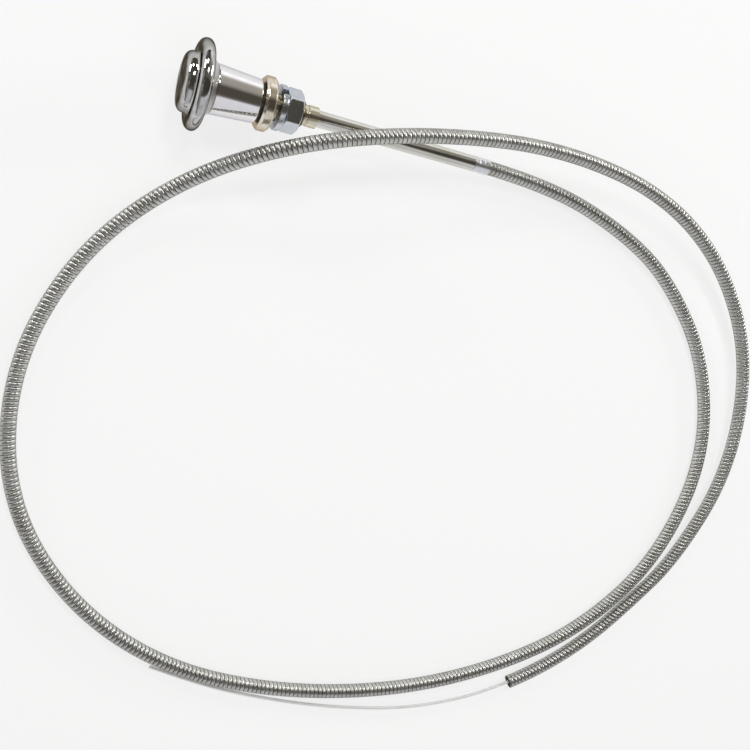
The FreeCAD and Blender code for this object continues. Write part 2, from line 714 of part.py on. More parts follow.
def tail_corners(mouth, cut_end):
    """The bare wire's route, from its grip inside the conduit to its free end."""
    bend = number("Sizes.tail_bend_radius")
    centre = bend_point(0, 0, mouth)
    end_angle = math.degrees(math.atan2(cut_end.y - centre.y, cut_end.x - centre.x))
    start_angle = end_angle + math.degrees(number("Sizes.tail_grip") / bend)
    outside = bend / math.cos(math.radians(TAIL_STEP / 2))
    corners = [bend_point(start_angle, bend, mouth)]
    corners += [bend_point(angle, outside, mouth) for angle in TAIL_CORNER_ANGLES]
    corners += [Vector(mouth.x + x, mouth.y + y, z) for x, y, z in TAIL_CORNERS]
    return corners


def least_gap(edges, radius):
    """Least gap between stretches of one tube that lie well apart along it."""
    count = int(length_of(edges) / GAP_STEP)
    points = [along(edges, index * GAP_STEP)[0] for index in range(count + 1)]
    apart = int(GAP_SKIP / GAP_STEP)
    gaps = [(points[i] - points[j]).Length for i in range(count + 1) for j in range(i + apart, count + 1)]
    return min(gaps) - 2 * radius


def report_route(name, edges, radii):
    print(f"{name}: {length_of(edges):.0f} mm, arc radii", " ".join(f"{radius:.0f}" for radius in radii))


def cord_features(placement):
    """The conduit in four stretches, the wire inside it and the bare wire's tail."""
    mouth = placement.multVec(Vector(number(MOUTH), 0, 0))
    edges, radii = rounded(conduit_corners(placement, mouth))
    total = length_of(edges)
    report_route("conduit", edges, radii)
    print(f"least gap of the conduit to itself: {least_gap(edges, number('Sizes.conduit_radius')):.2f} mm")
    borders = [0.0]
    for run in NODE_RUN_COUNTS:
        before = length_of(edges[:2 * run])
        borders.append(before + edges[2 * run].Length / 2)
    borders.append(total)
    names = ("conduit_lead", "conduit_first_loop", "conduit_crossing", "conduit_second_loop")
    features = []
    for name, start, end in zip(names, borders, borders[1:]):
        ribs = round(number("Sizes.rib_count") * (end - start) / total)
        features.append(shape_feature(name, ribbed_tube(stretch(edges, start, end), ribs)))
    wire = number("Sizes.wire_radius")
    room = number("Sizes.pull_travel + Sizes.tail_grip + Sizes.wire_gap")
    core = stretch(edges, number("Sizes.wire_gap"), total - room)
    features.append(shape_feature("inner_wire_core", plain_tube(core, wire)))
    tail, tail_radii = rounded(tail_corners(mouth, edges[-1].Vertexes[-1].Point))
    report_route("tail", tail, tail_radii)
    features.append(shape_feature("inner_wire_tail", plain_tube(tail, wire)))
    centre = bend_point(0, 0, mouth)
    print(f"tail pivot ({centre.x:.4f}, {centre.y:.4f}), radius {number('Sizes.tail_bend_radius')}")
    check_volume("inner_wire_tail", features[-1], length_of(tail), wire)
    check_volume("inner_wire_core", features[-2], length_of(core), wire)
    return features


def check_volume(name, feature, length, radius):
    ratio = feature.Shape.Volume / (math.pi * radius ** 2 * length)
    print(f"{name}: volume over section times length {ratio:.4f}")


def write(features):
    """Checks every object of the document and writes one STEP file for each piece."""
    for item in doc.Objects:
        if {"Invalid", "Error"} & set(item.State):
            raise RuntimeError(f"{item.Label} is {item.State}")
    for feature in features:
        shape = feature.Shape
        if shape.isNull() or not shape.isValid() or shape.Volume <= 0:
            raise RuntimeError(f"{feature.Label} has no valid solid")
        shape.exportStep(f"parts/{feature.Label}.step")
        print(f"{feature.Label}: {len(shape.Solids)} solid, {shape.Volume:.1f} mm3")


control = [
    knob_cap(), knob_core(), knob_stem(), stem_insert(), stem_screw(), push_rod(), wire_coupler(),
    inner_wire_front(), stop_washer(), collar(), threaded_shank(), front_bush(), friction_ring(),
    lock_washer(), mounting_nut(), guide_tube(), tube_ferrule(),
]
doc.recompute()
attitude = seat_in_row(control_attitude(), control[0], control[-1])
for piece in control:
    piece.Placement = attitude.multiply(piece.Placement)
cords = cord_features(attitude)
doc.recompute()
print("attitude", attitude)
write(control + cords)
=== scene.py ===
import math

import bmesh
import bpy
from mathutils import Matrix, Vector


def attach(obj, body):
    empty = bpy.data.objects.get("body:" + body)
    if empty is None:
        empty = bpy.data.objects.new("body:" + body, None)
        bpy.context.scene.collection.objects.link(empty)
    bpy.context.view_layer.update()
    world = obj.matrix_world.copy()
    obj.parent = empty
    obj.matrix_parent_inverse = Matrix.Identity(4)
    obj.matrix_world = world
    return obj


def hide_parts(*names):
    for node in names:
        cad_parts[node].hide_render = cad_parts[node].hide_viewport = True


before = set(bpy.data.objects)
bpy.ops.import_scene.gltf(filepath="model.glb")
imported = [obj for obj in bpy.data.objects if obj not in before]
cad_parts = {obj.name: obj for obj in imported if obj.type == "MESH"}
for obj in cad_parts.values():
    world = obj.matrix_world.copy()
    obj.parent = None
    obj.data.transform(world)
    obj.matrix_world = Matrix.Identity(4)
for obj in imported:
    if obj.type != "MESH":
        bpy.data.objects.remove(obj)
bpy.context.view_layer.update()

# A push-pull control cable: chrome pull knob, panel mount, guide tube, close-wound conduit and bare wire.
# Lengths are in metres. MM is for the turned pieces, whose sizes are written in millimetres.
MM = 0.001
# Points nearer to each other than this are joined
SAME_PLACE = 1e-7

# The control's own frame: X is its axis, 0 at the collar's back face, the knob at the negative end, and
# its Z faces up. It dips towards the conduit, because it lies on the knob's rim.
DIP = math.radians(5.03754)
CONTROL_ORIGIN = Vector((-0.0314064, 0.0, 0.0144678))
CONTROL = Matrix.Translation(CONTROL_ORIGIN) @ Matrix.Rotation(DIP, 4, "Y")

# Stations along the control's axis, in millimetres
RIM_CENTRE = -28.2
STEM_FRONT = -22.9
STEM_BACK = -5.5
COLLAR_FRONT = -4.6
WASHER_FRONT = 2.05
NUT_FRONT = 4.8
NUT_BACK = 11.2
THREAD_BACK = 12.6
STUB_BACK = 18.7
TUBE_FRONT = 10.7
TUBE_BACK = 90.8
EXIT = 92.3
MOUTH = 98.3
TOUCHDOWN = 130.6


# Camera

CAMERA_PLACE = Vector((-0.08635, -0.06068, 0.34926))
CAMERA_AIM = Vector((0.03727, -0.09750, 0.0))
CAMERA_TOP = Vector((-0.15657, 0.97492, -0.15820))
SENSOR = 36.0
LENS = 40.8


def set_camera():
    """The photo's camera, as fitted to the photo."""
    lens = bpy.data.cameras.new("photo_view")
    lens.sensor_width = SENSOR
    lens.lens = LENS
    lens.clip_start = 0.01
    lens.clip_end = 20.0
    camera = bpy.data.objects.new("photo_view", lens)
    bpy.context.scene.collection.objects.link(camera)
    forward = (CAMERA_AIM - CAMERA_PLACE).normalized()
    right = forward.cross(CAMERA_TOP).normalized()
    turn = Matrix((right, right.cross(forward), -forward)).transposed()
    camera.matrix_world = Matrix.Translation(CAMERA_PLACE) @ turn.to_4x4()
    bpy.context.scene.camera = camera


# Nodes

def put(tree, kind, inputs=None, **settings):
    """Adds a node. Inputs are filled by name or number with a value or another node's socket."""
    node = tree.nodes.new(kind)
    for key, value in settings.items():
        setattr(node, key, value)
    for key, value in (inputs or {}).items():
        if isinstance(value, bpy.types.NodeSocket):
            tree.links.new(value, node.inputs[key])
        else:
            node.inputs[key].default_value = value
    return node


def number(tree, operation, first, second=0.0):
    """A Math node's result."""
    return put(tree, "ShaderNodeMath", {0: first, 1: second}, operation=operation).outputs[0]


def vector(tree, operation, first, second=(0, 0, 0), result="Vector"):
    """A Vector Math node's result."""
    inputs = {0: first}
    if operation == "SCALE":
        inputs["Scale"] = second
    else:
        inputs[1] = second
    return put(tree, "ShaderNodeVectorMath", inputs, operation=operation).outputs[result]


def ramp(tree, value, low, high, start=0.0, end=1.0):
    """A value brought from one range to another, and kept in it."""
    return put(tree, "ShaderNodeMapRange", {0: value, 1: low, 2: high, 3: start, 4: end}).outputs[0]


def blend(tree, share, first, second):
    """Two colours blended by a share."""
    # The Mix node's sockets for colours are 6, 7 and 2
    node = put(tree, "ShaderNodeMix", data_type="RGBA")
    for index, value in ((0, share), (6, first), (7, second)):
        if isinstance(value, bpy.types.NodeSocket):
            tree.links.new(value, node.inputs[index])
        elif index:
            node.inputs[index].default_value = (*value, 1)
        else:
            node.inputs[index].default_value = value
    return node.outputs[2]


def noise(tree, place, scale, detail):
    """A soft random value between 0 and 1 that changes from place to place."""
    inputs = {"Vector": place, "Scale": scale, "Detail": detail}
    return put(tree, "ShaderNodeTexNoise", inputs).outputs[0]


# Geometry trees

def socket_named(tree, name):
    """The identifier of the tree's input with that name."""
    for item in tree.interface.items_tree:
        if item.name == name and item.in_out == "INPUT":
            return item.identifier


def new_tree(name, sizes):
    """A Geometry Nodes tree with a route and the named sizes going in and a piece coming out."""
    tree = bpy.data.node_groups.new(name, "GeometryNodeTree")
    tree.interface.new_socket("Route", in_out="INPUT", socket_type="NodeSocketGeometry")
    for label, kind in sizes.items():
        tree.interface.new_socket(label, in_out="INPUT", socket_type=kind)
    tree.interface.new_socket("Piece", in_out="OUTPUT", socket_type="NodeSocketGeometry")
    return tree, tree.nodes.new("NodeGroupInput").outputs


def close_tree(tree, geometry, finish):
    """Ends a tree as a finished mesh with its material."""
    real = put(tree, "GeometryNodeRealizeInstances", {"Geometry": geometry}).outputs[0]
    smooth = put(tree, "GeometryNodeSetShadeSmooth", {"Geometry": real}).outputs[0]
    painted = put(tree, "GeometryNodeSetMaterial", {"Geometry": smooth, "Material": finish}).outputs[0]
    put(tree, "NodeGroupOutput", {0: painted})


def pick(tree, index, values):
    """The value with that index."""
    node = tree.nodes.new("GeometryNodeIndexSwitch")
    node.data_type = "FLOAT"
    while len(node.index_switch_items) < len(values):
        node.index_switch_items.new()
    tree.links.new(index, node.inputs["Index"])
    for place, value in enumerate(values, start=1):
        if isinstance(value, bpy.types.NodeSocket):
            tree.links.new(value, node.inputs[place])
        else:
            node.inputs[place].default_value = value
    return node.outputs[0]


def store(tree, geometry, name, value):
    """Keeps a value with each vertex under a name that a material can read."""
    node = put(tree, "GeometryNodeStoreNamedAttribute", {"Geometry": geometry, "Name": name},
               data_type="FLOAT", domain="POINT")
    tree.links.new(value, node.inputs["Value"])
    return node.outputs[0]


def winding_tree():
    """A strip wound closely round a route, cut off square at both ends. The strip's section is an arch:
    a flat crest, two shoulders that leave a groove between turns, and a foot inside."""
    tree, given = new_tree("wound_strip", {
        "Radius": "NodeSocketFloat", "Pitch": "NodeSocketFloat", "Strip Width": "NodeSocketFloat",
        "Crest Width": "NodeSocketFloat", "Groove Depth": "NodeSocketFloat", "Wall": "NodeSocketFloat",
        "Steps Per Turn": "NodeSocketInt", "Finish": "NodeSocketMaterial"})
    route = put(tree, "GeometryNodeSetCurveNormal", {"Curve": given["Route"]}, mode="Z_UP").outputs[0]
    length = put(tree, "GeometryNodeCurveLength", {"Curve": given["Route"]}).outputs[0]
    # The pitch that gives a whole number of turns
    turns = number(tree, "ROUND", number(tree, "DIVIDE", length, given["Pitch"]))
    pitch = number(tree, "DIVIDE", length, turns)
    wound = number(tree, "ADD", length, given["Strip Width"])
    steps = number(tree, "MULTIPLY", number(tree, "DIVIDE", wound, pitch), given["Steps Per Turn"])
    rows = number(tree, "ADD", number(tree, "FLOOR", steps), 1.0)
    grid = put(tree, "GeometryNodeMeshGrid", {"Vertices X": 6, "Vertices Y": rows}).outputs[0]
    index = put(tree, "GeometryNodeInputIndex").outputs[0]
    corner = number(tree, "FLOOR", number(tree, "DIVIDE", number(tree, "ADD", index, 0.5), rows))
    row = number(tree, "SUBTRACT", index, number(tree, "MULTIPLY", corner, rows))
    turn = number(tree, "DIVIDE", row, given["Steps Per Turn"])

    half_strip = number(tree, "MULTIPLY", given["Strip Width"], 0.5)
    half_crest = number(tree, "MULTIPLY", given["Crest Width"], 0.5)
    shoulder = number(tree, "MULTIPLY", half_strip, -1.0)
    crest = number(tree, "MULTIPLY", half_crest, -1.0)
    offset = pick(tree, corner, [0.0, shoulder, crest, half_crest, half_strip, 0.0])
    groove = given["Groove Depth"]
    depth = pick(tree, corner, [given["Wall"], groove, 0.0, 0.0, groove, given["Wall"]])

    start = number(tree, "SUBTRACT", number(tree, "MULTIPLY", turn, pitch), half_strip)
    station = number(tree, "MAXIMUM", number(tree, "ADD", start, offset), 0.0)
    station = number(tree, "MINIMUM", station, length)
    at = put(tree, "GeometryNodeSampleCurve", {"Curves": route, "Length": station}, mode="LENGTH").outputs
    angle = number(tree, "MULTIPLY", turn, 2 * math.pi)
    outward = put(tree, "ShaderNodeVectorRotate", {
        "Vector": at["Normal"], "Center": (0, 0, 0), "Axis": at["Tangent"], "Angle": angle}).outputs[0]
    reach = vector(tree, "SCALE", outward, number(tree, "SUBTRACT", given["Radius"], depth))
    place = vector(tree, "ADD", at["Position"], reach)
    strip = put(tree, "GeometryNodeSetPosition", {"Geometry": grid, "Position": place}).outputs[0]
    share = number(tree, "MINIMUM", number(tree, "DIVIDE", depth, groove), 1.0)
    strip = store(tree, strip, "groove", share)
    drift = put(tree, "ShaderNodeTexNoise", {"W": turn, "Scale": 0.35, "Detail": 3.0},
                noise_dimensions="1D").outputs[0]
    strip = store(tree, strip, "strip_tint", drift)
    joined = put(tree, "GeometryNodeMergeByDistance", {"Geometry": strip, "Distance": SAME_PLACE})
    close_tree(tree, joined.outputs[0], given["Finish"])
    return tree


def wire_tree():
    """A round wire along a route."""
    tree, given = new_tree("round_wire", {
        "Radius": "NodeSocketFloat", "Step": "NodeSocketFloat", "Sides": "NodeSocketInt",
        "Start": "NodeSocketFloat", "End": "NodeSocketFloat", "Finish": "NodeSocketMaterial"})
    # Inputs 4 and 5 are the stretch's start and end as lengths
    part = put(tree, "GeometryNodeTrimCurve",
               {"Curve": given["Route"], 4: given["Start"], 5: given["End"]}, mode="LENGTH").outputs[0]
    even = put(tree, "GeometryNodeResampleCurve", {"Curve": part, "Length": given["Step"]}, mode="LENGTH")
    steady = put(tree, "GeometryNodeSetCurveNormal", {"Curve": even.outputs[0]}, mode="Z_UP").outputs[0]
    ring = put(tree, "GeometryNodeCurvePrimitiveCircle",
               {"Resolution": given["Sides"], "Radius": given["Radius"]}, mode="RADIUS").outputs[0]
    tube = put(tree, "GeometryNodeCurveToMesh",
               {"Curve": steady, "Profile Curve": ring, "Fill Caps": True}).outputs[0]
    close_tree(tree, tube, given["Finish"])
    return tree


def route_object(name, points):
    """A smooth NURBS line with the points as its control points."""
    curve = bpy.data.curves.new(name, "CURVE")
    curve.dimensions = "3D"
    curve.resolution_u = 24
    spline = curve.splines.new("NURBS")
    spline.points.add(len(points) - 1)
    for knot, point in zip(spline.points, points):
        knot.co = (*point, 1.0)
    spline.order_u = 3
    spline.use_endpoint_u = True
    route = bpy.data.objects.new(name, curve)
    bpy.context.scene.collection.objects.link(route)
    return route


def line_of(route):
    """The points that a route's smooth line passes through."""
    mesh = bpy.data.meshes.new_from_object(route)
    points = [vertex.co.copy() for vertex in mesh.vertices]
    bpy.data.meshes.remove(mesh)
    return points


def length_of(points):
    """The length of a line through points."""
    return sum((after - before).length for before, after in zip(points, points[1:]))


def grown(name, route, tree, sizes):
    """The plain mesh that a tree makes along a route."""
    modifier = route.modifiers.new(name, "NODES")
    modifier.node_group = tree
    for label, value in sizes.items():
        modifier[socket_named(tree, label)] = value
    evaluated = route.evaluated_get(bpy.context.evaluated_depsgraph_get())
    mesh = bpy.data.meshes.new_from_object(evaluated)
    route.modifiers.remove(modifier)
    mesh.name = name
    return mesh


def join_frame(name, mesh, body, nodes):
    """A finished mesh as a piece that rides on a body in place of CAD nodes."""
    piece = bpy.data.objects.new(name, mesh)
    bpy.context.scene.collection.objects.link(piece)
    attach(piece, body)
    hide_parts(*nodes)
    return piece


# Cords

CONDUIT_RADIUS = 0.003
WIRE_RADIUS = 0.0007
# How far the knob draws the wire, how much of its bare end stays in the conduit, and the gaps between its
# parts inside
TRAVEL = 0.050
GRIP = 0.005
WIRE_GAP = 0.0003

# The conduit's route beyond the touchdown: a first loop, the hump over the guide tube, a second loop, and
# the bend that it shares with the bare wire. Places are from the floor under the ferrule's mouth.
CONDUIT_POINTS = [
    (0.0743, -0.0115, 0.003), (0.1058, -0.028, 0.003), (0.1378, -0.063, 0.003), (0.1523, -0.113, 0.003),
    (0.1378, -0.1665, 0.003), (0.1038, -0.2045, 0.003), (0.0613, -0.2275, 0.003),
    (0.0113, -0.2415, 0.003), (-0.0452, -0.2445, 0.003), (-0.0967, -0.2355, 0.003),
    (-0.1392, -0.210, 0.003), (-0.1687, -0.170, 0.003), (-0.1752, -0.119, 0.003),
    (-0.1592, -0.072, 0.003), (-0.1283, -0.0362, 0.008), (-0.0872, -0.0125, 0.028),
    (-0.0315, 0.0048, 0.025), (0.0284, 0.0138, 0.018), (0.087, 0.0069, 0.014), (0.1306, -0.0182, 0.011),
    (0.1603, -0.0605, 0.008), (0.1673, -0.116, 0.005), (0.1488, -0.1655, 0.003), (0.1253, -0.1928, 0.003),
    (0.1113, -0.2074, 0.003), (0.0955, -0.2202, 0.003), (0.0783, -0.2309, 0.003),
    (0.0692, -0.2351, 0.003),
]
# The bare wire, from its grip inside the conduit's cut end to its free end
WIRE_POINTS = [
    (0.0737, -0.2330, 0.003), (0.0599, -0.2395, 0.003), (0.0407, -0.2457, 0.003),
    (0.0208, -0.2496, 0.003), (0.0006, -0.2510, 0.003), (-0.0267, -0.2506, 0.0026),
    (-0.0537, -0.2479, 0.0017), (-0.0797, -0.2435, 0.0009), (-0.1027, -0.2362, 0.00075),
]


def make_cords(finishes):
    """The wound conduit with the wire in it, and the wire's bare end."""
    mouth = CONTROL @ Vector((MOUTH * MM, 0, 0))
    beyond = Vector((mouth.x, mouth.y, 0))
    exit_point = CONTROL @ Vector((EXIT * MM, 0, 0))
    touchdown = CONTROL @ Vector((TOUCHDOWN * MM, 0, 0))
    conduit_points = [exit_point, touchdown] + [beyond + Vector(point) for point in CONDUIT_POINTS]
    conduit_route = route_object("conduit_route", conduit_points)
    wire_route = route_object("wire_route", [beyond + Vector(point) for point in WIRE_POINTS])
    conduit_line = line_of(conduit_route)
    wire_line = line_of(wire_route)

    mesh = grown("conduit", conduit_route, winding_tree(), {
        "Radius": CONDUIT_RADIUS, "Pitch": 0.0019, "Strip Width": 0.00186, "Crest Width": 0.00142,
        "Groove Depth": 0.00032, "Wall": 0.0017, "Steps Per Turn": 27, "Finish": finishes["conduit"]})
    stretches = ("conduit_lead", "conduit_first_loop", "conduit_crossing", "conduit_second_loop")
    conduit = join_frame("conduit", mesh, "mount", stretches)
    round_wire = wire_tree()
    mesh = grown("inner_wire", conduit_route, round_wire, {
        "Radius": WIRE_RADIUS, "Step": 0.004, "Sides": 10, "Start": WIRE_GAP,
        "End": length_of(conduit_line) - TRAVEL - GRIP - WIRE_GAP, "Finish": finishes["wire"]})
    core = join_frame("inner_wire", mesh, "mount", ("inner_wire_core",))
    mesh = grown("wire_end", wire_route, round_wire, {
        "Radius": WIRE_RADIUS, "Step": 0.002, "Sides": 24, "Start": 0.0, "End": length_of(wire_line),
        "Finish": finishes["wire"]})
    tail = join_frame("wire_end", mesh, "wire_tail", ("inner_wire_tail",))
    for route in (conduit_route, wire_route):
        bpy.data.objects.remove(route)


# Turned pieces

def arc(centre, radius, start, end, steps):
    """Points of an arc in the (station, radius) plane, angles in degrees."""
    turns = [math.radians(start + (end - start) * step / steps) for step in range(steps + 1)]
    return [(centre[0] + radius * math.cos(turn), centre[1] + radius * math.sin(turn)) for turn in turns]


def eased(corners, ease):
    """A closed outline with its corners broken. A narrow face beside each one keeps the wide faces flat
    where they are shaded smooth."""
    steps = 3
    most_of_edge = 0.4
    beside = 1.2
    points = []
    corners = [Vector(corner) for corner in corners]
    for before, corner, after in zip(corners[-1:] + corners[:-1], corners, corners[1:] + corners[:1]):
        reach = min(
            ease, (before - corner).length * most_of_edge, (after - corner).length * most_of_edge)
        back = (before - corner).normalized() * reach
        ahead = (after - corner).normalized() * reach
        points.append((corner + back * beside)[:])
        for step in range(steps + 1):
            share = step / steps
            points.append((corner + back * (1 - share) ** 2 + ahead * share ** 2)[:])
        points.append((corner + ahead * beside)[:])
    return points


def lathe(outline, sides=96, radius_at=None):
    """A closed outline of (station, radius) points in millimetres, turned about the axis. A function may
    change the radius by the station, the radius and the angle."""
    work = bmesh.new()
    rings = []
    for station, radius in outline:
        # On the axis a ring is one point
        if radius < 1e-6:
            rings.append([work.verts.new((station * MM, 0, 0))] * sides)
            continue
        ring = []
        for side in range(sides):
            turn = 2 * math.pi * side / sides
            reach = radius_at(station, radius, turn) if radius_at else radius
            ring.append(work.verts.new(
                (station * MM, reach * MM * math.cos(turn), reach * MM * math.sin(turn))))
        rings.append(ring)
    skin(work, rings, closed=True)
    return work


def skin(work, rings, closed):
    """Faces between rings of vertices, and from the last ring to the first where the shape is closed."""
    following = rings[1:] + rings[:1] if closed else rings[1:]
    for here, there in zip(rings, following):
        if here[0] is here[1] and there[0] is there[1]:
            continue
        for side in range(len(here)):
            other = (side + 1) % len(here)
            corners = [here[side], here[other], there[other], there[side]]
            work.faces.new(list(dict.fromkeys(corners)))


def finished(name, work, finish, body, node, crease=40.0):
    """Gives a shape made in the control's frame its place, its material and its body."""
    bmesh.ops.remove_doubles(work, verts=work.verts, dist=SAME_PLACE)
    bmesh.ops.recalc_face_normals(work, faces=work.faces)
    mesh = bpy.data.meshes.new(name)
    work.to_mesh(mesh)
    work.free()
    mesh.transform(CONTROL)
    mesh.materials.append(finish)
    mesh.shade_smooth()
    mesh.set_sharp_from_angle(angle=math.radians(crease))
    return join_frame(name, mesh, body, (node,))


def bored(work, cutter):
    """A shape less another shape."""
    objects = []
    for name, shape in (("blank", work), ("cutter", cutter)):
        bmesh.ops.recalc_face_normals(shape, faces=shape.faces)
        mesh = bpy.data.meshes.new(name)
        shape.to_mesh(mesh)
        shape.free()
        objects.append(bpy.data.objects.new(name, mesh))
        bpy.context.scene.collection.objects.link(objects[-1])
    blank, tool = objects
    cut = blank.modifiers.new("cut", "BOOLEAN")
    cut.object = tool
    evaluated = blank.evaluated_get(bpy.context.evaluated_depsgraph_get())
    mesh = bpy.data.meshes.new_from_object(evaluated)
    result = bmesh.new()
    result.from_mesh(mesh)
    for thing in objects:
        bpy.data.objects.remove(thing)
    return result


def make_knob(finishes):
    """Pressed cap with a crowned dome, a valley and a rolled rim."""
    wall = 0.9
    rim = 2.5
    rim_ring = 14.5
    front = RIM_CENTRE - rim
    back = RIM_CENTRE + rim
    dome_front = RIM_CENTRE - 7.0
    crown_edge = 8.6
    crown_rise = 0.4
    shoulder = 2.7
    valley = 1.4
    throat = 10.4
    lip = 12.1
    crown = (crown_edge ** 2 + crown_rise ** 2) / (2 * crown_rise)
    crown_angle = math.degrees(math.asin(crown_edge / crown))
    shoulder_centre = (dome_front + crown_rise + shoulder, crown_edge)
    outline = arc((dome_front + crown, 0), crown, 180, 180 - crown_angle, 12)
    outline += arc(shoulder_centre, shoulder, 180 - crown_angle, 90, 10)[1:]
    outline += arc((front - valley, crown_edge + shoulder + valley), valley, -90, 0, 8)
    outline += arc((RIM_CENTRE, rim_ring), rim, 180, 0, 28)
    outline += [(back, lip), (back - wall, lip)]
    outline += arc((RIM_CENTRE, rim_ring), rim - wall, 0, 180, 16)
    outline += [(front + wall, throat), (shoulder_centre[0], throat)]
    outline += arc(shoulder_centre, shoulder - wall, 90, 180 - crown_angle, 6)
    outline += [(dome_front + wall, 0)]
    finished("knob_shell", lathe(outline, 128), finishes["cap_chrome"], "knob", "knob_cap", 50)


def make_stem(finishes):
    """Tapered sleeve with broken edges and the grub screw's hole in its underside."""
    front_radius = 9.45
    back_radius = 8.3
    bore = 6.0
    broken_edge = 0.5
    hole_station = -13.65
    hole_radius = 1.56
    cut_depth = 8.0
    outline = eased([
        (STEM_FRONT, bore), (STEM_FRONT, front_radius), (STEM_BACK, back_radius), (STEM_BACK, bore),
    ], broken_edge)
    cutter = bmesh.new()
    bmesh.ops.create_cone(
        cutter, cap_ends=True, segments=32, radius1=hole_radius * MM, radius2=hole_radius * MM,
        depth=cut_depth * MM, matrix=Matrix.Translation((hole_station * MM, 0, -cut_depth * MM)))
    sleeve = bored(lathe(outline), cutter)
    finished("stem_sleeve", sleeve, finishes["stem_chrome"], "knob", "knob_stem", 50)


def make_collar(finishes):
    """Panel ring, chamfered on both sides."""
    bore = 5.05
    face_radius = 9.5
    radius = 10.4
    chamfer = 0.9
    broken_edge = 0.1
    work = lathe(eased([
        (COLLAR_FRONT, bore), (COLLAR_FRONT, face_radius), (COLLAR_FRONT + chamfer, radius),
        (-chamfer, radius), (0, face_radius), (0, bore),
    ], broken_edge))
    finished("panel_collar", work, finishes["collar_plate"], "mount", "collar", 25)


def make_shank(finishes):
    """Shank with a wound thread, a stub with a groove and the tube's socket."""
    root = 4.25
    thread_radius = 5.0
    pitch = 1.25
    thread_start = -3.6
    plain_radius = 4.9
    stub_radius = 4.15
    groove_radius = 3.7
    bush_bore = 3.65
    bush_floor = 4.74
    rod_bore = 2.35
    tube_bore = 3.35
    broken_edge = 0.12
    outline = [
        (COLLAR_FRONT, bush_bore), (COLLAR_FRONT, plain_radius), (thread_start, plain_radius),
        (thread_start + 0.5, root), (THREAD_BACK - 0.6, root), (THREAD_BACK, root - 0.1),
        (THREAD_BACK + 0.1, stub_radius), (THREAD_BACK + 1.0, stub_radius),
        (THREAD_BACK + 1.2, groove_radius), (THREAD_BACK + 1.8, groove_radius),
        (THREAD_BACK + 2.0, stub_radius), (STUB_BACK, stub_radius), (STUB_BACK, tube_bore),
        (TUBE_FRONT, tube_bore), (TUBE_FRONT, rod_bore), (bush_floor, rod_bore), (bush_floor, bush_bore),
    ]
    work = lathe(eased(outline, broken_edge))
    start = Vector((thread_start * MM, 0, 0))
    end = Vector((THREAD_BACK * MM, 0, 0))
    steps = 6
    route = route_object("thread_route", [start.lerp(end, step / steps) for step in range(steps + 1)])
    thread = grown("thread", route, winding_tree(), {
        "Radius": thread_radius * MM, "Pitch": pitch * MM, "Strip Width": pitch * MM,
        "Crest Width": 0.18 * MM, "Groove Depth": 0.72 * MM, "Wall": 1.0 * MM, "Steps Per Turn": 48,
        "Finish": finishes["yellow_plate"]})
    bpy.data.objects.remove(route)
    work.from_mesh(thread)
    finished("mount_shank", work, finishes["yellow_plate"], "mount", "threaded_shank", 30)


def make_lock_washer(finishes):
    """Split spring washer: a square section with broken edges, wound left-handed from a slit at the
    side, its ends spread along the axis."""
    inner, outer = 5.3, 8.75
    thickness, spread, slit = 2.2, 0.3, 2.0
    slit_angle = math.radians(135)
    middle = (inner + outer) / 2
    swept = 2 * math.pi - slit / middle
    broken_edge = 0.35
    section = eased([(0, inner), (0, outer), (thickness, outer), (thickness, inner)], broken_edge)
    steps = 96
    work = bmesh.new()
    rings = []
    for step in range(steps + 1):
        share = step / steps
        # The angle is 0 on the underside
        turn = slit_angle - swept * share
        ring = []
        for along, radius in section:
            station = WASHER_FRONT + along + spread * share
            place = Vector((station, radius * math.sin(turn), -radius * math.cos(turn)))
            ring.append(work.verts.new(place * MM))
        rings.append(ring)
    skin(work, rings, closed=False)
    for ring in (rings[0], rings[-1]):
        work.faces.new(ring)
    finished("split_washer", work, finishes["blue_zinc"], "mount", "lock_washer")


def nut_outline(flats, corner_ease, side_steps, corner_steps):
    """Points round a hexagon with slightly rounded corners."""
    points = []
    half_side = flats / 2 * math.tan(math.radians(30))
    straight = half_side - corner_ease * math.tan(math.radians(30))
    for side in range(6):
        facing = math.radians(60 * side)
        along = Vector((-math.sin(facing), math.cos(facing)))
        out = Vector((math.cos(facing), math.sin(facing)))
        for step in range(side_steps + 1):
            spot = out * flats / 2 + along * straight * (2 * step / side_steps - 1)
            points.append(spot)
        centre = out * (flats / 2 - corner_ease) + along * straight
        for step in range(1, corner_steps):
            turn = facing + math.radians(60 * step / corner_steps)
            points.append(centre + Vector((math.cos(turn), math.sin(turn))) * corner_ease)
    return points


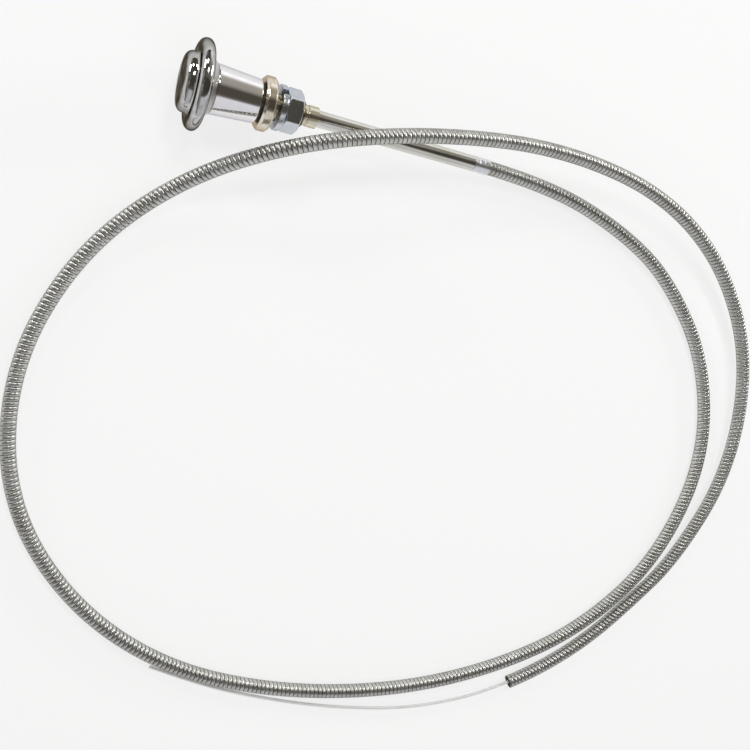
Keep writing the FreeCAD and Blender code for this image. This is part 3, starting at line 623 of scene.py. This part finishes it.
def make_nut(finishes):
    """Hex nut: corners chamfered on both faces, and a countersunk bore."""
    flats = 15.0
    face_radius = flats / 2 - 0.15
    face_edge = 0.03
    bore = 5.05
    countersink = 0.7
    corner_ease = 0.45
    slope = math.tan(math.radians(30))
    turned_by = Matrix.Rotation(math.radians(38), 2)
    spots = [turned_by @ spot for spot in nut_outline(flats, corner_ease, 10, 4)]
    work = bmesh.new()

    def ring_at(station, reach_of):
        """One ring round the nut. The station may depend on the reach, as it does on the chamfer."""
        ring = []
        for spot in spots:
            reach = reach_of(spot.length)
            direction = spot.normalized()
            shift = station(reach) if callable(station) else station
            ring.append(work.verts.new(Vector((shift, direction.x * reach, direction.y * reach)) * MM))
        return ring

    rings = []
    for face, inward in ((NUT_FRONT, 1), (NUT_BACK, -1)):
        half = [
            ring_at(face + inward * countersink, lambda reach: bore),
            ring_at(face, lambda reach: bore + countersink),
            ring_at(face, lambda reach: face_radius - 0.1),
            ring_at(face + inward * face_edge, lambda reach: face_radius),
        ]
        # The chamfer's edge with the flats is rounded by rings a little in from it and behind it
        for back_off, drop in ((0.25, 0.0), (0.08, 0.03), (0.0, 0.12), (0.0, 0.35)):
            half.append(ring_at(
                lambda reach, drop=drop, face=face, inward=inward:
                    face + inward * (max(reach - face_radius, 0.0) * slope + drop + face_edge),
                lambda reach, back_off=back_off: reach - back_off))
        rings += half if inward == 1 else half[::-1]
    skin(work, rings, closed=True)
    finished("hex_nut", work, finishes["blue_zinc"], "mount", "mounting_nut", 25)


def make_guide_tube(finishes):
    """Drawn tube, its ends cut square and broken."""
    radius = 3.3
    bore = 2.8
    broken_edge = 0.2
    work = lathe(eased([
        (TUBE_FRONT, bore), (TUBE_FRONT, radius), (TUBE_BACK, radius), (TUBE_BACK, bore),
    ], broken_edge), 72)
    finished("drawn_tube", work, finishes["bright_tube"], "mount", "guide_tube", 50)


def make_ferrule(finishes):
    """Crimped end: a spigot in the tube, a sleeve pressed to soft flats, and the conduit's socket."""
    length = MOUTH - TUBE_BACK
    crimp_flats = 6
    radius = 3.4
    socket = 3.05
    wire_bore = 0.76
    spigot = TUBE_BACK - 5.0
    spigot_radius = 2.75
    tube_edge = 0.2
    mouth_edge = 0.16
    straight = length - 0.5
    flat_depth = 0.16
    band_depth = 0.10
    band_width = 0.06
    steps = 36
    outline = [
        (spigot, wire_bore), (spigot, spigot_radius - 0.15), (spigot + 0.15, spigot_radius),
        (TUBE_BACK, spigot_radius),
    ]
    outline += arc((TUBE_BACK + tube_edge, radius - tube_edge), tube_edge, 180, 90, 4)
    outline += [(TUBE_BACK + tube_edge + straight * step / steps, radius) for step in range(1, steps)]
    outline += arc((MOUTH - 0.3, radius - mouth_edge), mouth_edge, 90, 0, 4)
    outline += [(MOUTH - 0.14, socket), (EXIT, socket), (EXIT, wire_bore)]

    def pressed(station, reach, turn):
        """The sleeve's radius after crimping, with its flats and two pressed bands."""
        if reach < socket + 0.05:
            return reach
        share = (station - TUBE_BACK) / length
        press = math.sin(math.pi * min(max(share, 0.0), 1.0)) ** 0.6
        flat = (0.5 - 0.5 * math.cos(crimp_flats * (turn + math.radians(15)))) ** 1.5
        band = sum(math.exp(-((share - centre) / band_width) ** 2) for centre in (1 / 3, 2 / 3))
        return reach - press * (flat_depth * flat + band_depth * band)

    work = lathe(outline, 96, pressed)
    finished("crimped_ferrule", work, finishes["ferrule"], "mount", "tube_ferrule", 35)


# Finishes

def new_finish(name, metallic):
    """A material with its node tree and shader."""
    material = bpy.data.materials.new(name)
    material.use_nodes = True
    shader = material.node_tree.nodes["Principled BSDF"]
    shader.inputs["Metallic"].default_value = metallic
    return material, material.node_tree, shader


def give(tree, shader, **sockets):
    """Fills the shader's sockets with values or links."""
    for name, value in sockets.items():
        socket = shader.inputs[name.replace("_", " ")]
        if isinstance(value, bpy.types.NodeSocket):
            tree.links.new(value, socket)
        else:
            socket.default_value = (*value, 1) if isinstance(value, tuple) else value


def bump(tree, shader, height, depth, strength):
    """Small relief of the given depth in metres."""
    node = put(tree, "ShaderNodeBump", {"Height": height, "Distance": depth, "Strength": strength})
    tree.links.new(node.outputs[0], shader.inputs["Normal"])


def in_control(tree):
    """Place in the control's frame, in millimetres: X along its axis."""
    place = put(tree, "ShaderNodeTexCoord").outputs["Object"]
    shift = CONTROL.inverted().translation
    turned = put(tree, "ShaderNodeMapping", {
        "Vector": place, "Location": shift, "Rotation": (0, -DIP, 0)}).outputs[0]
    return vector(tree, "SCALE", turned, 1 / MM)


def in_row(tree):
    """Place in the shared frame, in millimetres."""
    return vector(tree, "SCALE", put(tree, "ShaderNodeTexCoord").outputs["Object"], 1 / MM)


def lathe_marks(tree, place, fineness):
    """Fine rings left by turning: noise that only changes along the axis and outwards from it."""
    parts = put(tree, "ShaderNodeSeparateXYZ", {"Vector": place}).outputs
    across = vector(tree, "MULTIPLY", place, (0, 1, 1))
    out = vector(tree, "LENGTH", across, result="Value")
    spot = put(tree, "ShaderNodeCombineXYZ", {"X": parts[0], "Y": out, "Z": 0.0}).outputs[0]
    return noise(tree, spot, fineness, detail=3.0)


def draw_lines(tree, place, fineness):
    """Fine lines along the axis left by drawing."""
    spot = vector(tree, "MULTIPLY", place, (0.02, 1, 1))
    return noise(tree, spot, fineness, detail=3.0)


def chrome(name, pale, dull_and_painted_reflection, edge_tint, waviness):
    """Chrome over polished metal: almost even, with a faint haze, a few fine dust marks and the slow
    waves that pressing leaves. Its second colour's patches are partly haze and partly painted reflection
    of a dim mottled room. The edge tint is its reflection at a low angle; set dark, it is painted shade
    along the edges."""
    material, tree, shader = new_finish(name, 1.0)
    place = in_control(tree)
    haze = noise(tree, place, 0.35, detail=4.0)
    dust = ramp(tree, noise(tree, place, 6.0, detail=2.0), 0.68, 0.74)
    rough = ramp(tree, haze, 0.35, 0.7, 0.035, 0.075)
    rough = number(tree, "ADD", rough, number(tree, "MULTIPLY", dust, 0.10))
    # Partly painted reflection: the patches of the second colour copy a dim mottled room, besides real
    # haze
    colour = blend(tree, ramp(tree, haze, 0.3, 0.7), pale, dull_and_painted_reflection)
    # Painted shade: a dark edge tint darkens the reflection along the edges
    give(tree, shader, Base_Color=colour, Specular_Tint=edge_tint, Roughness=rough)
    bump(tree, shader, noise(tree, place, 0.26, detail=0.0), waviness * MM, 0.5)
    return material


def turned_plate(name, colour, tint, edge_tint, rough, marks):
    """Plated turned metal: rings from the tool, and tint that drifts over the plating."""
    material, tree, shader = new_finish(name, 1.0)
    place = in_control(tree)
    rings = lathe_marks(tree, place, marks)
    drift = noise(tree, place, 0.28, detail=3.0)
    shade = blend(tree, ramp(tree, drift, 0.32, 0.68), colour, tint)
    worn = tuple(part * 0.72 for part in colour)
    shade = blend(tree, ramp(tree, rings, 0.25, 0.75, 0.0, 0.35), shade, worn)
    spots = ramp(tree, noise(tree, place, 2.2, detail=4.0), 0.62, 0.72, 0.0, 0.12)
    roughness = number(tree, "ADD", ramp(tree, rings, 0.2, 0.8, rough * 0.75, rough * 1.35), spots)
    give(tree, shader, Base_Color=shade, Specular_Tint=edge_tint, Roughness=roughness)
    bump(tree, shader, rings, 0.02 * MM, 0.2)
    return material


def cast_core():
    """Zinc casting behind the cap: slightly grained, darker in its pores."""
    material, tree, shader = new_finish("zinc_casting", 1.0)
    place = in_control(tree)
    grain = noise(tree, place, 3.5, detail=5.0)
    rings = lathe_marks(tree, place, 4.0)
    colour = blend(tree, ramp(tree, grain, 0.35, 0.7), (0.36, 0.35, 0.33), (0.60, 0.59, 0.57))
    give(tree, shader, Base_Color=colour, Roughness=ramp(tree, rings, 0.3, 0.7, 0.22, 0.38))
    bump(tree, shader, grain, 0.03 * MM, 0.4)
    return material


def bronze():
    """Sintered bronze: open pores all over."""
    material, tree, shader = new_finish("sintered_bronze", 1.0)
    place = in_control(tree)
    cells = put(tree, "ShaderNodeTexVoronoi", {"Vector": place, "Scale": 7.0}).outputs["Distance"]
    pores = ramp(tree, cells, 0.12, 0.32)
    colour = blend(tree, pores, (0.22, 0.13, 0.06), (0.66, 0.46, 0.25))
    give(tree, shader, Base_Color=colour, Roughness=ramp(tree, cells, 0.1, 0.6, 0.55, 0.34))
    bump(tree, shader, pores, 0.03 * MM, 0.5)
    return material


def dark_finish(name, colour, worn, metallic, rough):
    """A dark piece that is a little rubbed: black oxide, fibre or rubber."""
    material, tree, shader = new_finish(name, metallic)
    place = in_control(tree)
    rub = noise(tree, place, 1.6, detail=5.0)
    shade = blend(tree, ramp(tree, rub, 0.45, 0.75), colour, worn)
    give(tree, shader, Base_Color=shade, Roughness=ramp(tree, rub, 0.3, 0.8, rough * 1.15, rough * 0.8))
    bump(tree, shader, noise(tree, place, 12.0, detail=3.0), 0.02 * MM, 0.4)
    return material


def drawn_metal(name, colour, tint, rough, lines):
    """Bright drawn metal: fine lines along it and slow changes of tint."""
    material, tree, shader = new_finish(name, 1.0)
    place = in_control(tree)
    streaks = draw_lines(tree, place, lines)
    drift = noise(tree, vector(tree, "MULTIPLY", place, (0.25, 1, 1)), 0.3, detail=3.0)
    shade = blend(tree, ramp(tree, drift, 0.35, 0.7), colour, tint)
    roughness = ramp(tree, streaks, 0.25, 0.75, rough * 0.7, rough * 1.4)
    give(tree, shader, Base_Color=shade, Roughness=roughness)
    bump(tree, shader, streaks, 0.015 * MM, 0.3)
    return material


def pressed_ferrule():
    """Light zinc plate, dulled and finely grained by the pressing."""
    material, tree, shader = new_finish("pressed_zinc", 1.0)
    place = in_control(tree)
    grain = noise(tree, place, 5.0, detail=5.0)
    along = vector(tree, "MULTIPLY", place, (0.3, 1, 1))
    scuffs = ramp(tree, noise(tree, along, 3.0, detail=3.0), 0.6, 0.75)
    colour = blend(tree, ramp(tree, grain, 0.3, 0.7), (0.66, 0.67, 0.69), (0.80, 0.81, 0.83))
    colour = blend(tree, number(tree, "MULTIPLY", scuffs, 0.4), colour, (0.50, 0.50, 0.52))
    give(tree, shader, Base_Color=colour, Roughness=ramp(tree, grain, 0.3, 0.7, 0.30, 0.42))
    bump(tree, shader, grain, 0.02 * MM, 0.4)
    return material


def galvanised():
    """Galvanised strip of the conduit: spangled grey-olive, with painted shade that darkens it in the
    grooves.
    """
    material, tree, shader = new_finish("galvanised_strip", 1.0)
    place = in_row(tree)
    groove = put(tree, "ShaderNodeAttribute", attribute_name="groove").outputs["Fac"]
    tint = put(tree, "ShaderNodeAttribute", attribute_name="strip_tint").outputs["Fac"]
    spangle = put(tree, "ShaderNodeTexVoronoi", {"Vector": place, "Scale": 1.3}).outputs["Color"]
    fleck = put(tree, "ShaderNodeSeparateColor", {"Color": spangle}).outputs[0]
    grime = noise(tree, place, 0.12, detail=4.0)
    metal = blend(tree, ramp(tree, fleck, 0.0, 1.0), (0.55, 0.55, 0.52), (0.71, 0.71, 0.69))
    metal = blend(tree, ramp(tree, tint, 0.3, 0.7, 0.0, 0.4), metal, (0.47, 0.47, 0.44))
    metal = blend(tree, ramp(tree, grime, 0.45, 0.75, 0.0, 0.35), metal, (0.34, 0.33, 0.30))
    # Painted shade: the colour goes near black down in the grooves between turns
    depth = ramp(tree, groove, 0.25, 0.9)
    colour = blend(tree, depth, metal, (0.10, 0.10, 0.09))
    rough = ramp(tree, fleck, 0.0, 1.0, 0.33, 0.42)
    rough = number(tree, "ADD", rough, number(tree, "MULTIPLY", depth, 0.30))
    # Painted shade: the dark edge tint darkens the conduit's reflection along its edges
    give(tree, shader, Base_Color=colour, Specular_Tint=(0.22, 0.21, 0.19), Roughness=rough)
    bump(tree, shader, noise(tree, place, 4.0, detail=3.0), 0.02 * MM, 0.1)
    return material


def drawn_wire():
    """Dull white zinc on the wire, with faint die marks."""
    material, tree, shader = new_finish("drawn_wire", 0.35)
    place = in_row(tree)
    marks = noise(tree, place, 1.5, detail=4.0)
    colour = blend(tree, ramp(tree, marks, 0.3, 0.7), (0.84, 0.84, 0.84), (0.94, 0.94, 0.94))
    give(tree, shader, Base_Color=colour, Roughness=ramp(tree, marks, 0.3, 0.7, 0.36, 0.50))
    bump(tree, shader, marks, 0.01 * MM, 0.3)
    return material


def make_finishes():
    """Every finish by its name."""
    return {
        # The cap's second colour is partly painted reflection, and its very dark edge tint is painted
        # shade along its edges; the stem's darker edge tint is painted shade along its edges too
        "cap_chrome": chrome(
            "pressed_chrome", (0.60, 0.59, 0.60), (0.40, 0.40, 0.38), (0.11, 0.095, 0.075), 0.50),
        "stem_chrome": chrome(
            "turned_chrome", (0.86, 0.85, 0.86), (0.82, 0.81, 0.81), (0.62, 0.60, 0.66), 0.015),
        "zinc_core": cast_core(),
        "brass": turned_plate(
            "turned_brass", (0.80, 0.62, 0.30), (0.72, 0.53, 0.24), (0.90, 0.75, 0.50), 0.22, 7.0),
        "bronze": bronze(),
        "black_screw": dark_finish("black_oxide", (0.03, 0.03, 0.035), (0.12, 0.12, 0.13), 1.0, 0.35),
        "bright_rod": drawn_metal("ground_rod", (0.66, 0.66, 0.68), (0.74, 0.74, 0.75), 0.16, 9.0),
        "fibre": dark_finish("dark_fibre", (0.035, 0.03, 0.027), (0.09, 0.08, 0.07), 0.0, 0.62),
        "rubber": dark_finish("nitrile_rubber", (0.02, 0.02, 0.02), (0.05, 0.05, 0.05), 0.0, 0.55),
        "collar_plate": turned_plate(
            "collar_zinc_plate", (0.70, 0.61, 0.46), (0.84, 0.81, 0.78), (0.48, 0.40, 0.30), 0.13, 6.0),
        "yellow_plate": turned_plate(
            "yellow_zinc_plate", (0.70, 0.64, 0.48), (0.78, 0.75, 0.66), (0.45, 0.42, 0.32), 0.19, 6.0),
        "blue_zinc": turned_plate(
            "blue_zinc_plate", (0.60, 0.64, 0.69), (0.72, 0.74, 0.76), (0.55, 0.58, 0.62), 0.20, 5.0),
        "bright_tube": drawn_metal("drawn_tube_steel", (0.58, 0.57, 0.50), (0.68, 0.68, 0.67), 0.13, 8.0),
        "ferrule": pressed_ferrule(),
        "conduit": galvanised(),
        "wire": drawn_wire(),
    }


# Pieces whose CAD shape is shown as it is, with the finish of each
SHOWN_AS_BUILT = {
    "knob_core": "zinc_core", "stem_insert": "brass", "stem_screw": "black_screw",
    "push_rod": "bright_rod", "wire_coupler": "bright_rod", "inner_wire_front": "wire",
    "stop_washer": "fibre", "front_bush": "bronze", "friction_ring": "rubber",
}


def dress_built_pieces(finishes):
    """Gives the pieces that keep their CAD shape their finish."""
    for node, finish in SHOWN_AS_BUILT.items():
        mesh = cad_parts[node].data
        mesh.materials.clear()
        mesh.materials.append(finishes[finish])


# Surroundings

FLOOR_COLOUR = (0.93, 0.93, 0.93)
# The part of the floor's white that is its own; the rest is lit and takes the shadow
FLOOR_GLOW = 0.7
LAMP_AIM = Vector((0.0, -0.04, 0.0))
LAMP_DISTANCE = 1.0


def make_floor():
    """A wide pale floor under the object. Part of its white is a glow that only camera, mirror and
    transmission rays see, so that it lights nothing."""
    half = 3.0
    mesh = bpy.data.meshes.new("floor")
    corners = [(-half, -half, 0), (half, -half, 0), (half, half, 0), (-half, half, 0)]
    mesh.from_pydata(corners, [], [(0, 1, 2, 3)])
    floor = bpy.data.objects.new("floor", mesh)
    bpy.context.scene.collection.objects.link(floor)
    material, tree, shader = new_finish("pale_floor", 0.0)
    give(tree, shader, Base_Color=FLOOR_COLOUR, Roughness=0.9)
    rays = put(tree, "ShaderNodeLightPath").outputs
    seen = number(tree, "MAXIMUM", rays["Is Camera Ray"], rays["Is Glossy Ray"])
    seen = number(tree, "MAXIMUM", seen, rays["Is Transmission Ray"])
    glow = put(tree, "ShaderNodeEmission", {"Color": (1, 1, 1, 1), "Strength": 1.0}).outputs[0]
    share = number(tree, "MULTIPLY", seen, FLOOR_GLOW)
    white = put(tree, "ShaderNodeMixShader", {0: share, 1: shader.outputs[0], 2: glow}).outputs[0]
    tree.links.new(white, tree.nodes["Material Output"].inputs["Surface"])
    mesh.materials.append(material)


# What metal shows of the studio along the control's sides: the angle from straight up towards +Y, in
# degrees, and the colour there
STUDIO_BANDS = [
    (-96, (0.16, 0.16, 0.15)), (-88, (0.60, 0.60, 0.63)), (-42, (0.64, 0.64, 0.67)),
    (-32, (0.12, 0.11, 0.10)), (-22, (0.065, 0.056, 0.046)), (12, (0.065, 0.056, 0.046)),
    (22, (0.18, 0.17, 0.145)), (30, (0.28, 0.265, 0.23)), (58, (0.33, 0.31, 0.27)),
    (66, (0.55, 0.54, 0.51)), (74, (0.96, 0.96, 0.96)), (110, (1.0, 1.0, 1.0)),
]
STUDIO_STRENGTH = 1.2
FRONT_DARK = (0.045, 0.042, 0.036)
FRONT_LIGHT = (0.30, 0.30, 0.28)
SIDE_DARK = (0.075, 0.066, 0.052)
HORIZON = (0.80, 0.80, 0.80)
BACKDROP = (0.82, 0.82, 0.82)


def make_world():
    """A studio round the object, as metal shows it: a pale wall on each side, the one at +Y dark along
    the knob's half, a dim brownish ceiling, a dim mottled wall beyond the knob and pale low screens at
    both ends. The camera sees it plain."""
    world = bpy.data.worlds.new("studio")
    bpy.context.scene.world = world
    world.use_nodes = True
    tree = world.node_tree
    look = put(tree, "ShaderNodeTexCoord").outputs["Generated"]
    parts = put(tree, "ShaderNodeSeparateXYZ", {"Vector": look}).outputs
    angle = number(tree, "ARCTAN2", parts[1], parts[2])
    bands = put(tree, "ShaderNodeValToRGB", {"Fac": ramp(tree, angle, -math.pi, math.pi)})
    stops = bands.color_ramp.elements
    while len(stops) < len(STUDIO_BANDS):
        stops.new(1.0)
    for stop, (degrees, colour) in zip(stops, STUDIO_BANDS):
        stop.position = 0.5 + degrees / 360
        stop.color = (*colour, 1)
    behind = number(
        tree, "MULTIPLY", ramp(tree, parts[0], 0.22, 0.06), ramp(tree, parts[1], 0.30, 0.55))
    colour = blend(tree, behind, bands.outputs["Color"], SIDE_DARK)
    patches = ramp(tree, noise(tree, look, 2.6, detail=1.5), 0.42, 0.60)
    front = blend(tree, patches, FRONT_DARK, FRONT_LIGHT)
    colour = blend(tree, ramp(tree, parts[0], -0.30, -0.55), colour, front)
    ends = ramp(tree, number(tree, "ABSOLUTE", parts[0]), 0.5, 0.75)
    low = ramp(tree, parts[2], 0.16, 0.08)
    colour = blend(tree, number(tree, "MULTIPLY", ends, low), colour, HORIZON)
    rays = put(tree, "ShaderNodeLightPath").outputs
    colour = blend(tree, rays["Is Camera Ray"], colour, BACKDROP)
    background = tree.nodes["Background"]
    tree.links.new(colour, background.inputs["Color"])
    background.inputs["Strength"].default_value = STUDIO_STRENGTH


def add_lamp(name, direction, size, watts, shape):
    """A soft lamp that stands in that direction from the object and points at it."""
    lamp = bpy.data.lights.new(name, "AREA")
    lamp.shape = shape
    lamp.size = size
    lamp.energy = watts
    thing = bpy.data.objects.new(name, lamp)
    away = Vector(direction).normalized()
    thing.location = LAMP_AIM + away * LAMP_DISTANCE
    thing.rotation_mode = "QUATERNION"
    thing.rotation_quaternion = away.to_track_quat("Z", "Y")
    bpy.context.scene.collection.objects.link(thing)
    return thing


# Lamps: name, direction from the object, size, power and shape
LAMPS = [
    ("high_spot", (0.04, 0.50, 0.86), 0.20, 1.8, "DISK"),
    ("middle_spot", (-0.36, 0.76, 0.54), 0.18, 1.5, "DISK"),
    ("left_spot", (-0.78, 0.55, 0.26), 0.22, 1.8, "DISK"),
    ("right_spot", (0.82, 0.48, 0.32), 0.24, 2.2, "DISK"),
]
# A wide soft light overhead that fills the shadows and doesn't show in metal
FILL = ("soft_fill", (0.15, -0.2, 1.0), 1.0, 3.4, "SQUARE")


def make_surroundings():
    """Floor, studio and lamps, shown with plain colours."""
    make_floor()
    make_world()
    for name, direction, size, watts, shape in LAMPS:
        add_lamp(name, direction, size, watts, shape)
    add_lamp(*FILL).visible_glossy = False
    bpy.context.scene.view_settings.view_transform = "Standard"


set_camera()
finishes = make_finishes()
make_cords(finishes)
make_knob(finishes)
make_stem(finishes)
make_collar(finishes)
make_shank(finishes)
make_lock_washer(finishes)
make_nut(finishes)
make_guide_tube(finishes)
make_ferrule(finishes)
dress_built_pieces(finishes)
make_surroundings()
